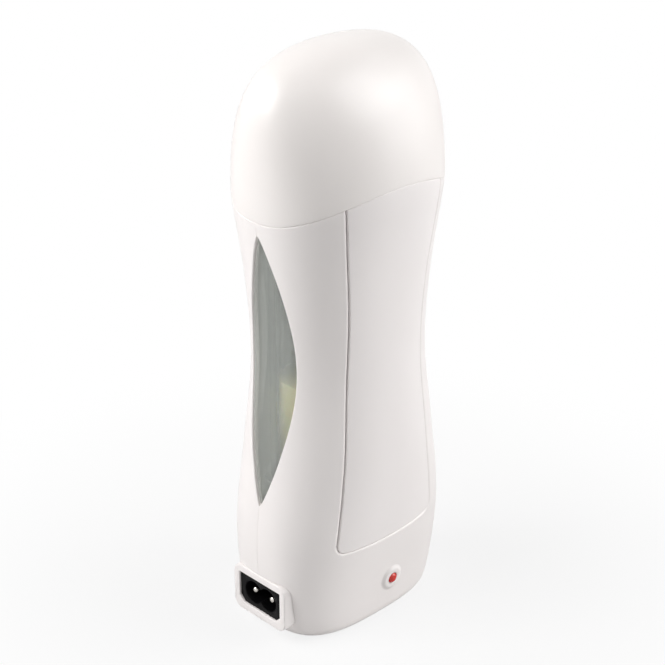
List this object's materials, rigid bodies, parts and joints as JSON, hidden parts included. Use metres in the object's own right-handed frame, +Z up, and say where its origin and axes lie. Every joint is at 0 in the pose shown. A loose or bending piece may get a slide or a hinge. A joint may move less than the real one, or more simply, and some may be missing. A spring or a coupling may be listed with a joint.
{
  "type": "roll on wax heater",
  "caption": "Upright handheld heater for a roll-on wax cartridge: waisted moulded housing with inlaid panels and side windows, lift-off cap, mains inlet and pilot light.",
  "frame": {"origin": "centre of the flat base, on the surface it stands on", "axes": "+Z up to the cap, -Y towards the front panel with the pilot light, -X towards the narrow side with the mains inlet"},
  "size_m": [0.0776, 0.0574, 0.205],
  "materials": {
    "white_abs": "glossy moulded ABS",
    "panel_abs": "glossy moulded ABS",
    "cap_abs": "glossy moulded ABS",
    "window_pc": "polished tinted polycarbonate",
    "collar_abs": "satin moulded ABS",
    "cradle_pbt": "satin heat-resistant PBT",
    "plate_aluminium": "satin extruded",
    "stone_ceramic": "fired, matt",
    "strip_steel": "rolled strip",
    "pad_film": "polyimide film, satin",
    "spring_steel": "rolled spring strip",
    "screw_steel": "zinc plated",
    "fuse_can": "drawn can",
    "bezel_abs": "glossy moulded ABS",
    "socket_black": "satin moulded nylon",
    "pin_metal": "nickel plated",
    "led_red": "clear tinted epoxy",
    "board_fr4": "solder mask on glass-filled laminate",
    "resistor_body": "painted ceramic",
    "wire_brown": "extruded sleeve",
    "wire_blue": "extruded sleeve",
    "tank_plastic": "clear moulded",
    "wax_honey": "set resin wax",
    "head_plastic": "moulded polypropylene",
    "roller_plastic": "moulded polypropylene"
  },
  "bodies": {
    "housing": {"front_shell": "white_abs", "rear_shell": "white_abs", "front_panel": "panel_abs", "rear_panel": "panel_abs", "left_window": "window_pc", "right_window": "window_pc", "shell_screws": "screw_steel", "top_collar": "collar_abs", "heating_cradle": "cradle_pbt", "front_heat_plate": "plate_aluminium", "rear_heat_plate": "plate_aluminium", "front_heating_stones": "stone_ceramic", "rear_heating_stones": "stone_ceramic", "front_electrode_strip": "strip_steel", "rear_electrode_strip": "strip_steel", "front_insulating_pad": "pad_film", "rear_insulating_pad": "pad_film", "front_heater_clip": "spring_steel", "rear_heater_clip": "spring_steel", "thermal_fuse": "fuse_can", "inlet_bezel": "bezel_abs", "inlet_socket": "socket_black", "inlet_pins": "pin_metal", "led_lamp": "led_red", "led_board": "board_fr4", "led_resistor": "resistor_body", "live_wire": "wire_brown", "neutral_wire": "wire_blue", "strip_wire": "wire_brown", "plate_wire": "wire_blue"},
    "cartridge": {"cartridge_tank": "tank_plastic", "wax_fill": "wax_honey", "roller_head": "head_plastic"},
    "roller": {"roller": "roller_plastic"},
    "cap": {"cap": "cap_abs"}
  },
  "joints": [
    {"name": "cartridge_lift", "type": "slide", "parent": "housing", "child": "cartridge", "axis": [0, 0, 1], "range_m": [0, 0.115]},
    {"name": "cap_lift", "type": "slide", "parent": "cartridge", "child": "cap", "axis": [0, 0, 1], "range_m": [0, 0.06]},
    {"name": "roller_spin", "type": "hinge", "parent": "cartridge", "child": "roller", "pos_m": [0, 0, 0.17675], "axis": [1, 0, 0], "continuous": true}
  ]
}
